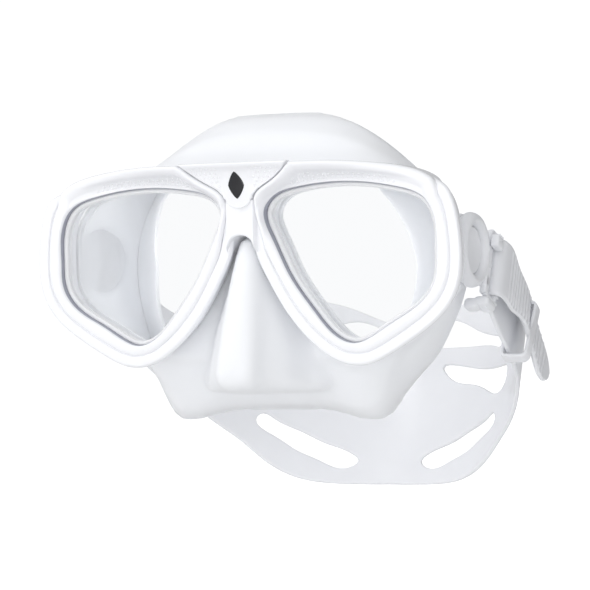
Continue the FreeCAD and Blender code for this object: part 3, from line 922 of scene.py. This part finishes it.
# %% Skirt
WALL = 1.9
VOXEL = 1.0
WALL_TILT = math.atan(0.33)      # the temple's wall against the mid plane
FACE_OPENING = [(0, 41.0), (24, 39.6), (41, 29.0), (50.4, 13.0), (52.4, -4.0), (49.0, -20.0),
                (38.0, -34.0), (24.0, -43.0), (0, -45.0)]


def prism(name, loop, low, high):
    """A closed prism along Y."""
    piece = skin(name, [at_depth(loop, low), at_depth(loop, high)])
    in_edit(piece, cap_ends)
    return piece


def cut(piece, cutter):
    modify(piece, "BOOLEAN", operation="DIFFERENCE", solver="MANIFOLD", object=cutter)
    bpy.data.objects.remove(cutter)


def make_skirt():
    body = join("soft_skirt", [skirt_band(), nose_pocket(), boss(1), boss(-1)])
    modify(body, "REMESH", mode="VOXEL", voxel_size=VOXEL * MM)
    modify(body, "SMOOTH", factor=0.5, iterations=18)
    print("melted skirt", len(body.data.polygons), "faces")
    modify(body, "SOLIDIFY", thickness=WALL * MM, offset=-1)
    for side in (1, -1):
        plug = boss(side, radius=12.6, low=71.2, high=72.2, tilt=WALL_TILT)
        modify(body, "BOOLEAN", operation="UNION", solver="MANIFOLD", object=plug)
        bpy.data.objects.remove(plug)
    cut(body, prism("face_cut", smooth(both_halves(FACE_OPENING), 200), -19.0, 30.0))
    window = inner - sideways(inner) * 0.8
    cut(body, prism("left_window_cut", window, -40.0, frame_back + 3.4))
    cut(body, prism("right_window_cut", window * [-1, 1], -40.0, frame_back + 3.4))
    curl_inner_edge(body)
    soften(body, 55)
    return body


def curl_inner_edge(body):
    """Leans the lip's free inner edge forward, most of all under the brow."""
    edge = smooth(both_halves(FACE_OPENING), 200)
    count = len(body.data.vertices)
    flat = np.empty(count * 3)
    body.data.vertices.foreach_get("co", flat)
    spots = flat.reshape(-1, 3) / MM
    for spot in spots:
        if spot[1] < -19.0:
            continue
        near = float(np.min(np.hypot(edge[:, 0] - spot[0], edge[:, 1] - spot[2])))
        lean = float(np.interp(spot[2], (-40, -20, 0, 25, 35), (5, 6, 4, 12, 10)))
        beside = float(ease(abs(spot[0]), 32.0, 43.0))
        spot[1] -= lean * beside * (1 - float(ease(near, 0.0, 11.0)))
    body.data.vertices.foreach_set("co", (spots * MM).ravel())
    body.data.update()


skirt = make_skirt()
finish_with(skirt, SKIRT_WHITE, "skirt_silicone", "mask", "skirt")

# %% [markdown]
# ## The strap's own frame
# The strap and both buckles hang as one assembly from the pivot line. It is easier to draw
# them level, with u running back from the pivot, v up, and x across, and then to hang the
# result at the strap's angle.

# %% Strap frame
DROOP = math.radians(21.0)
ROLLER_U = 20.0
LOOP_START, LOOP_END = 45.0, 130.0
STRAP_HALF = 10.8
STRAP_THICK = 1.6
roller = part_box("left_strap_roller")
ROLLER_X = (roller[0][0] + roller[1][0]) / 2 / MM
WRAP_R = 3.1


def hung(points):
    """Points (x, u, v) of the strap's own frame, in the row's frame."""
    p = np.asarray(points, float)
    c, s = math.cos(DROOP), math.sin(DROOP)
    return np.stack([p[..., 0], PIVOT_Y + p[..., 1] * c + p[..., 2] * s,
                     PIVOT_Z - p[..., 1] * s + p[..., 2] * c], -1)


def sag(u):
    u = np.asarray(u, float)
    wave = np.sin(np.pi * np.clip(u - ROLLER_U, 0, None) / (LOOP_END - ROLLER_U))
    return np.where(u < ROLLER_U, 0.0, -6.0 * u / LOOP_END - 12.0 * wave)


def hang_mesh(piece):
    """Moves a mesh drawn in the strap's own frame, in metres, to where it hangs."""
    count = len(piece.data.vertices)
    flat = np.empty(count * 3)
    piece.data.vertices.foreach_get("co", flat)
    placed = hung(flat.reshape(-1, 3) / MM) * MM
    piece.data.vertices.foreach_set("co", placed.ravel())
    piece.data.update()


# %% [markdown]
# ## The strap
# A silicone strap is moulded flat, so it is drawn flat: an outline with its slots as a filled
# curve, whose extrude and bevel give the thickness and the soft edges. Cuts across it every
# few millimetres let it bend, and each point is then carried to the loop that a head would fill.

# %% Strap loop
def loop_table():
    """Length along the strap's middle line against x and u, from the back middle outwards."""
    t = np.linspace(math.pi / 2, 0, 400)
    half = ROLLER_X - WRAP_R
    x = half * np.cos(t)
    u = LOOP_START + (LOOP_END - LOOP_START) * np.sin(t)
    x = np.append(x, half)
    u = np.append(u, ROLLER_U)
    s = np.concatenate([[0], np.cumsum(np.hypot(np.diff(x), np.diff(u)))])
    return s, x, u


LOOP_S, LOOP_X, LOOP_U = loop_table()
STRAP_LENGTH = LOOP_S[-1]
print("half the strap measures", round(STRAP_LENGTH, 1), "mm")

TOP_EDGE = [(20, 10.8), (34, 8.0), (50, 5.4), (62, 3.8), (72, 3.8), (80, 5.4), (87, 9.0),
            (95, 14.6), (103.6, 20.0), (113.5, 25.0), (120.5, 27.4), (126, 26.0), (128.9, 22.4),
            (130, 20.0)]
LOW_EDGE = [(20, -10.8), (34, -16.8), (55, -22.6), (78, -27.5), (95, -33.5), (104, -37.4),
            (113, -44.0), (122.7, -48.2), (128, -47.8), (130, -47.2)]
UPPER_SLOT = [(51.5, 4.6), (48.4, 7.4), (33.5, 14.4), (20.0, 20.6), (9.0, 17.6), (0.0, 14.4)]
UPPER_SLOT_FLOOR = [(0.0, 10.0), (17.0, 9.2), (34.0, 7.2), (46.0, 4.2), (50.5, 3.4)]
MIDDLE_SLOT = [(19, 0.2), (36, -2.4), (50, -5.5), (56.5, -9.5), (56, -13.0), (51, -16.6),
               (44, -13.5), (37, -9.5), (23, -4.2)]
LOWER_SLOT = [(13.5, -38.0), (17, -35.0), (27, -32.0), (36, -28.6), (45, -25.6), (49.6, -24.4),
              (51.0, -27.0), (45, -32.2), (37, -36.4), (28, -39.4), (17, -41.0)]


def unrolled(points):
    """Slot points given by x and v, on either side of the middle, laid flat along the strap."""
    return [(float(np.sign(x) * np.interp(abs(x), LOOP_X[:-1], LOOP_S[:-1])), v) for x, v in points]


def edge_line(points):
    """A strap edge from the buckle to the back middle, laid flat."""
    line = smooth(points, 90, closed=False)
    return np.stack([np.interp(line[:, 0], LOOP_U[::-1], LOOP_S[::-1]), line[:, 1]], 1)


def strap_outline():
    top, low = edge_line(TOP_EDGE), edge_line(LOW_EDGE)
    right_half = np.vstack([top[::-1], low])
    loop = np.vstack([right_half, right_half[::-1] * [-1, 1]])
    keep = [i for i in range(len(loop)) if np.linalg.norm(loop[i] - loop[i - 1]) > 0.05]
    return loop[keep]


def flat_curve(name, loops, thick, edge):
    curve = bpy.data.curves.new(name, "CURVE")
    curve.dimensions = "2D"
    curve.fill_mode = "BOTH"
    for loop in loops:
        spline = curve.splines.new("POLY")
        spline.points.add(len(loop) - 1)
        for point, (a, b) in zip(spline.points, loop):
            point.co = (a * MM, b * MM, 0, 1)
        spline.use_cyclic_u = True
    curve.extrude = (thick / 2 - edge) * MM
    curve.bevel_depth = edge * MM
    curve.bevel_resolution = 2
    curve.offset = -edge * MM
    piece = bpy.data.objects.new(name, curve)
    bpy.context.scene.collection.objects.link(piece)
    only(piece)
    bpy.ops.object.convert(target="MESH")
    return bpy.context.object


def slice_along(piece, low, high, step):
    """Cuts across a flat piece so that it can bend."""
    in_edit(piece, lambda: bpy.ops.mesh.remove_doubles(threshold=1e-6))
    mesh = bmesh.new()
    mesh.from_mesh(piece.data)
    for s in np.arange(low, high, step):
        bmesh.ops.bisect_plane(mesh, geom=mesh.verts[:] + mesh.edges[:] + mesh.faces[:],
                               plane_co=(s * MM, 0, 0), plane_no=(1, 0, 0))
    mesh.to_mesh(piece.data)
    mesh.free()


def make_strap():
    slots = []
    for points in (MIDDLE_SLOT, LOWER_SLOT):
        loop = smooth(unrolled(points), 60)
        slots += [loop, loop * [-1, 1]]
    across = UPPER_SLOT_FLOOR + UPPER_SLOT
    mirrored = [(-x, v) for x, v in reversed(across) if x > 0]
    slots.append(smooth(unrolled(across + mirrored), 160))
    band = flat_curve("strap_band", [strap_outline()] + slots, STRAP_THICK, 0.55)
    slice_along(band, -STRAP_LENGTH + 2, STRAP_LENGTH - 1, 2.5)
    count = len(band.data.vertices)
    flat = np.empty(count * 3)
    band.data.vertices.foreach_get("co", flat)
    s, v, w = (flat.reshape(-1, 3) / MM).T
    s_mid = np.clip(np.abs(s), 0.5, STRAP_LENGTH - 0.5)
    x = np.interp(np.abs(s), LOOP_S, LOOP_X)
    u = np.interp(np.abs(s), LOOP_S, LOOP_U)
    ahead = np.interp(s_mid + 0.5, LOOP_S, LOOP_X) - np.interp(s_mid - 0.5, LOOP_S, LOOP_X)
    down = np.interp(s_mid + 0.5, LOOP_S, LOOP_U) - np.interp(s_mid - 0.5, LOOP_S, LOOP_U)
    norm = np.hypot(ahead, down)
    out_x, out_u = -down / norm, ahead / norm
    side = np.where(s < 0, -1.0, 1.0)
    spot = np.stack([side * (x + out_x * w), u + out_u * w, v], 1)
    band.data.vertices.foreach_set("co", (hung(spot) * MM).ravel())
    in_edit(band, lambda: bpy.ops.mesh.normals_make_consistent(inside=False))
    soften(band, 35)
    return band


# %% [markdown]
# ## The adjusting tails
# Past the buckle the strap doubles back on the outside as a free tail. Its outer face has
# ribs across it that the buckle grips, so its rows follow a rippled line. The ribs fade out
# near both edges, as on a moulding that has to leave its tool. The wearer's right tail is
# pulled through less far, so it ends sooner.

# %% Tails
OUTER_X = ROLLER_X + WRAP_R
WRAP = [(ROLLER_X - WRAP_R, ROLLER_U + 3.0), (ROLLER_X - WRAP_R, ROLLER_U),
        (ROLLER_X - WRAP_R * 0.7, ROLLER_U - WRAP_R * 0.7), (ROLLER_X, ROLLER_U - WRAP_R),
        (ROLLER_X + WRAP_R * 0.7, ROLLER_U - WRAP_R * 0.7), (OUTER_X, ROLLER_U + 0.5)]
TAIL_EDGES = [((80.8, 15.4, -1.1), (82.4, 3.9, -18.1)), ((79.2, 29.0, -9.2), (82.8, 14.5, -22.0)),
              ((78.2, 39.5, -19.6), (83.0, 21.5, -30.6)), ((79.2, 44.5, -29.5), (83.4, 26.5, -39.8)),
              ((82.0, 47.0, -39.5), (84.2, 31.5, -47.5))]
RIB_PITCH, RIB_HEIGHT = 3.3, 0.5


def make_tail(name, ends):
    """A tail that leaves the roller and runs through the given edge points."""
    wrap = [np.concatenate([hung((x, u, STRAP_HALF)), hung((x, u, -STRAP_HALF))]) for x, u in WRAP]
    edges = smooth(wrap + [top + low for top, low in ends], 300, closed=False)
    top, low = edges[:, :3], edges[:, 3:]
    line, half = (top + low) / 2, (top - low) / 2
    along = np.gradient(line, axis=0)
    out = np.cross(along, half)
    out /= np.linalg.norm(out, axis=1)[:, None]
    gone = np.concatenate([[0], np.cumsum(np.linalg.norm(np.diff(line, axis=0), axis=1))])
    width = np.linalg.norm(half, axis=1)
    rows = []
    for k in range(len(line)):
        left = gone[-1] - gone[k]
        reach = math.sqrt(max(0.002, 1 - max(0.0, 1 - left / 9.0) ** 2))
        ripple = max(0.0, math.sin(2 * math.pi * gone[k] / RIB_PITCH)) ** 0.7
        ripple *= float(ease(gone[k], 15.0, 19.0) * ease(left, 4.0, 8.0))
        face, rear = [], []
        for share in np.linspace(-1, 1, 33):
            edge = (1 - abs(share)) * width[k] * reach
            thin = STRAP_THICK / 2 * math.sqrt(1 - (1 - min(edge / 0.7, 1)) ** 2)
            rib = RIB_HEIGHT * ripple * float(ease(edge, 0.8, 2.0))
            base = line[k] + half[k] * reach * share
            face.append(base + out[k] * (thin + rib))
            rear.append(base - out[k] * thin)
        rows.append(face + rear[::-1])
    tail = skin(name, rows)
    in_edit(tail, cap_ends)
    soften(tail, 50)
    return tail


left_tail = make_tail("left_tail", TAIL_EDGES)
right_tail = make_tail("right_tail", TAIL_EDGES[:3] + [((79.0, 43.0, -26.6), (83.2, 25.2, -36.8))])
right_tail.data.transform(MIRROR)
right_tail.data.flip_normals()
strap = join("silicone_strap", [make_strap(), left_tail, right_tail])
finish_with(strap, STRAP_WHITE, "strap_silicone", "strap_assembly", "strap")

# %% [markdown]
# ## Keepers
# A keeper is a small rubber loop that holds the tail against the strap. It is a rounded
# rectangle swept with a flat, soft-edged section.

# %% Keepers
KEEPER_U = 52.0


def make_keeper():
    slope = math.atan2(float(sag(KEEPER_U + 4) - sag(KEEPER_U - 4)), 8.0)
    x_mid, x_half, v_mid, v_half, corner = 78.4, 4.7, -0.1, 11.8, 2.0
    path, normal = [], []
    for cx, cv, start in ((1, 1, 0), (-1, 1, 90), (-1, -1, 180), (1, -1, 270)):
        for a in np.radians(np.linspace(start, start + 90, 9)):
            c, s = math.cos(a), math.sin(a)
            path.append((x_mid + cx * (x_half - corner) + corner * c,
                         v_mid + cv * (v_half - corner) + corner * s))
            normal.append((c, s))
    path, normal = np.array(path), np.array(normal)
    section = []
    for a in np.linspace(0, 2 * math.pi, 20, endpoint=False):
        c, s = math.cos(a), math.sin(a)
        section.append((0.65 * np.sign(c) * abs(c) ** 0.5, 2.4 * np.sign(s) * abs(s) ** 0.4))
    rows = []
    for thick, wide in section:
        ring = path + normal * thick
        rows.append(np.stack([ring[:, 0], np.full(len(ring), wide), ring[:, 1]], 1))
    rows = np.array(rows)
    c, s = math.cos(slope), math.sin(slope)
    turned = np.stack([rows[..., 0], KEEPER_U + rows[..., 1] * c - rows[..., 2] * s,
                       float(sag(KEEPER_U)) + rows[..., 1] * s + rows[..., 2] * c], -1)
    keeper = skin("left_keeper", turned, ring=True)
    hang_mesh(keeper)
    soften(keeper, 50)
    return keeper


left_keeper = make_keeper()
right_keeper = mirror_copy(left_keeper, "right_keeper")
finish_with(left_keeper, STRAP_WHITE, "strap_silicone", "left_keeper", "left_strap_keeper")
finish_with(right_keeper, STRAP_WHITE, "strap_silicone", "right_keeper", "right_strap_keeper")

# %% [markdown]
# ## Buckles
# The buckle is a thick ring that turns on the skirt's boss, with a neck and a fork behind it
# that carries the roller. The ring is turned like a bowl: a section spun round the pivot.

# %% Buckle ring
def spun(name, section, around=96):
    """A closed section (radius, x) spun round the pivot line."""
    rows = []
    for radius, x in section:
        turn = np.linspace(0, 2 * math.pi, around, endpoint=False)
        rows.append(np.stack([np.full(around, x), radius * np.cos(turn), radius * np.sin(turn)], 1))
    return skin(name, rows, ring=True)


def block(name, x, u, v, edge):
    deselect()
    size = [(b - a) * MM for a, b in (x, u, v)]
    middle = [(a + b) / 2 * MM for a, b in (x, u, v)]
    bpy.ops.mesh.primitive_cube_add(size=1, location=middle, scale=size)
    piece = bpy.context.object
    piece.name = name
    bpy.ops.object.transform_apply(location=True, rotation=True, scale=True)
    modify(piece, "BEVEL", width=edge * MM, segments=4)
    return piece


def make_buckle():
    ring = spun("left_buckle", smooth([(8.7, 75.2), (8.8, 77.2), (9.4, 78.7), (10.9, 79.5), (12.4, 78.9),
                                       (13.3, 77.4), (13.4, 75.8), (12.6, 74.7), (10.6, 74.5),
                                       (9.2, 74.6)], 40))
    neck = block("neck", (76.2, 79.4), (10.5, 14.6), (-9.6, 9.6), 1.0)
    arms = [block("arm", (77.5, 79.4), (12.0, 24.0), (v, v + 1.4), 0.5) for v in (11.3, -12.7)]
    braces = [block("brace", (76.8, 79.4), (11.0, 14.0), v, 0.6) for v in ((5.0, 12.0), (-12.0, -5.0))]
    buckle = join("left_buckle", [ring, neck] + arms + braces)
    hang_mesh(buckle)
    soften(buckle, 45)
    return buckle


left_buckle = make_buckle()
right_buckle = mirror_copy(left_buckle, "right_buckle")
for side, buckle in (("left", left_buckle), ("right", right_buckle)):
    finish_with(buckle, BUCKLE_WHITE, "buckle_plastic", "strap_assembly", side + "_buckle_body")

# %% [markdown]
# ## Squeeze tabs
# Each tab is a small ribbed pad. It starts as a block with rounded edges, and ribs for the
# finger are laid across its outer face. The lower pad also has a toe that reaches inwards.

# %% Tabs
def finger_ribs(x, u_first, count, v):
    ribs = []
    for k in range(count):
        deselect()
        bpy.ops.mesh.primitive_cylinder_add(vertices=24, radius=0.42 * MM, depth=3.2 * MM,
                                            location=(x * MM, (u_first + 1.6 * k) * MM, v * MM),
                                            rotation=(0, math.pi / 2, 0))
        bpy.ops.object.transform_apply(location=True, rotation=True, scale=True)
        rib = bpy.context.object
        modify(rib, "BEVEL", width=0.2 * MM, segments=2, limit_method="ANGLE")
        ribs.append(rib)
    return ribs


def make_tab(name, sign):
    if sign > 0:
        parts = [block(name, (79.5, 82.8), (9.4, 15.6), (5.2, 9.8), 0.9)]
        parts += finger_ribs(81.2, 10.8, 3, 9.8)
    else:
        parts = [block(name, (75.6, 81.2), (9.6, 18.4), (-17.0, -13.6), 1.3),
                 block("toe", (72.0, 77.4), (9.0, 14.6), (-18.4, -14.4), 1.5)]
        parts += finger_ribs(78.4, 12.2, 4, -17.0)
    tab = join(name, parts)
    hang_mesh(tab)
    soften(tab, 40)
    return tab


for place, sign in (("upper", 1), ("lower", -1)):
    tab = make_tab("left_%s_pad" % place, sign)
    twin = mirror_copy(tab, "right_%s_pad" % place)
    for side, piece in (("left", tab), ("right", twin)):
        finish_with(piece, BUCKLE_WHITE, "buckle_plastic", "%s_%s_button" % (side, place),
                    "%s_%s_tab" % (side, place))

# %% [markdown]
# ## Pivot caps
# The disc sunk in the ring holds the buckle on its post. It is turned with a shallow dish.

# %% Caps
def make_cap():
    cap = spun("left_dished_cap", [(0.05, 76.7), (4.0, 76.75), (7.0, 77.0), (7.9, 77.3), (8.3, 77.1),
                                  (8.4, 76.5), (8.2, 76.0), (4.0, 75.9), (4.0, 72.8), (0.05, 72.8)])
    hang_mesh(cap)
    soften(cap, 40)
    return cap


left_cap = make_cap()
right_cap = mirror_copy(left_cap, "right_dished_cap")
for side, cap in (("left", left_cap), ("right", right_cap)):
    finish_with(cap, BUCKLE_WHITE, "buckle_plastic", "mask", side + "_pivot_cap",
                side + "_pivot_post")
    keep_node(side + "_strap_roller", BUCKLE_WHITE)
keep_node("latch_pin", PIN_STEEL)
bpy.data.objects.remove(STUD)

# %% [markdown]
# ## Studio
# The mask hangs in a bright white studio: a pale floor, and a white sky that is brightest to
# the front and left. A soft key light comes from the upper left, a second one stands beside
# the camera and reaches into the mask, and a low one lights the chin. Two faint lamps inside
# stand for the light that soaks through the silicone. A long lens keeps the shape undistorted.

# %% Floor
deselect()
bpy.ops.mesh.primitive_plane_add(size=8, location=(0, 0, -0.16))
floor = bpy.context.object
floor.name = "floor"
floor_paint = bpy.data.materials.new("Pale floor")
floor_paint.use_nodes = True
floor_shader = floor_paint.node_tree.nodes["Principled BSDF"]
floor_shader.inputs["Base Color"].default_value = (0.92, 0.92, 0.92, 1)
floor_shader.inputs["Roughness"].default_value = 0.9
floor_shader.inputs["Emission Color"].default_value = (1, 1, 1, 1)
floor_ray = floor_paint.node_tree.nodes.new("ShaderNodeLightPath")
floor_glow = floor_paint.node_tree.nodes.new("ShaderNodeMapRange")
floor_glow.inputs["To Min"].default_value = 0.0
floor_glow.inputs["To Max"].default_value = 0.6
floor_paint.node_tree.links.new(floor_ray.outputs["Is Camera Ray"], floor_glow.inputs["Value"])
floor_paint.node_tree.links.new(floor_glow.outputs["Result"], floor_shader.inputs["Emission Strength"])
floor.data.materials.append(floor_paint)

# %% Light
def area_light(name, place, target, size, power):
    lamp = bpy.data.lights.new(name, "AREA")
    lamp.shape = "RECTANGLE"
    lamp.size, lamp.size_y = size
    lamp.energy = power
    light = bpy.data.objects.new(name, lamp)
    light.location = place
    light.rotation_euler = (Vector(target) - Vector(place)).to_track_quat("-Z", "Y").to_euler()
    bpy.context.scene.collection.objects.link(light)
    return light


area_light("key", (-0.75, -1.1, 0.95), (0, 0, 0), (0.5, 0.35), 1.9)
area_light("front_fill", (0.68, -1.30, 0.02), (0, 0, 0), (0.35, 0.5), 1.65)
area_light("low_fill", (0.05, -0.95, -0.12), (0, -0.03, -0.03), (0.5, 0.08), 0.8)
for side in (1, -1):
    glow = bpy.data.lights.new("cavity_glow", "POINT")
    glow.energy = 0.011
    glow.shadow_soft_size = 0.015
    glow_object = bpy.data.objects.new("cavity_glow_%d" % side, glow)
    glow_object.location = (side * 0.036, -0.012, 0.004)
    glow_object.visible_camera = glow_object.visible_glossy = False
    glow_object.visible_transmission = False
    bpy.context.scene.collection.objects.link(glow_object)

sky = bpy.data.worlds.new("White studio")
bpy.context.scene.world = sky
sky.use_nodes = True
sky_nodes, sky_links = sky.node_tree.nodes, sky.node_tree.links
background = sky_nodes["Background"]
direction = sky_nodes.new("ShaderNodeTexCoord")
toward_light = sky_nodes.new("ShaderNodeVectorMath")
toward_light.operation = "DOT_PRODUCT"
toward_light.inputs[1].default_value = Vector((-0.52, -0.84, -0.05)).normalized()
fade = sky_nodes.new("ShaderNodeMapRange")
fade.inputs["From Min"].default_value = -1.0
fade.inputs["From Max"].default_value = 1.0
fade.inputs["To Min"].default_value = 0.24
fade.inputs["To Max"].default_value = 1.27
sky_links.new(direction.outputs["Generated"], toward_light.inputs[0])
sky_links.new(toward_light.outputs["Value"], fade.inputs["Value"])
ray = sky_nodes.new("ShaderNodeLightPath")
seen = sky_nodes.new("ShaderNodeMath")
seen.operation = "MAXIMUM"
sky_links.new(ray.outputs["Is Camera Ray"], seen.inputs[0])
sky_links.new(ray.outputs["Is Transmission Ray"], seen.inputs[1])
choose = sky_nodes.new("ShaderNodeMix")
choose.data_type = "FLOAT"
sky_links.new(seen.outputs["Value"], choose.inputs["Factor"])
sky_links.new(fade.outputs["Result"], choose.inputs["A"])
backdrop = sky_nodes.new("ShaderNodeMapRange")
backdrop.inputs["To Min"].default_value = 0.97
backdrop.inputs["To Max"].default_value = 1.05
sky_links.new(ray.outputs["Is Camera Ray"], backdrop.inputs["Value"])
sky_links.new(backdrop.outputs["Result"], choose.inputs["B"])
sky_links.new(choose.outputs["Result"], background.inputs["Strength"])
background.inputs["Color"].default_value = (0.985, 0.99, 1.0, 1)
bpy.context.scene.view_settings.view_transform = "Standard"

# %% Camera
AZIMUTH = math.radians(24.0)
DISTANCE, FOCAL = 1.0714, 183.05
back = Vector((math.sin(AZIMUTH), -math.cos(AZIMUTH), 0.0))
right = Vector((math.cos(AZIMUTH), math.sin(AZIMUTH), 0.0))
bridge = Vector((0.0, rim_front * MM, 0.0))
camera_data = bpy.data.cameras.new("camera")
camera_data.lens = FOCAL
camera_data.sensor_width = 36.0
camera_data.clip_start = 0.01
camera = bpy.data.objects.new("camera", camera_data)
camera.location = bridge + back * DISTANCE + right * 0.0182 - Vector((0, 0, 0.0107))
roll = Matrix.Rotation(math.radians(-1.2), 3, back)
camera.rotation_euler = (roll @ (-back).to_track_quat("-Z", "Y").to_matrix()).to_euler()
bpy.context.scene.collection.objects.link(camera)
bpy.context.scene.camera = camera
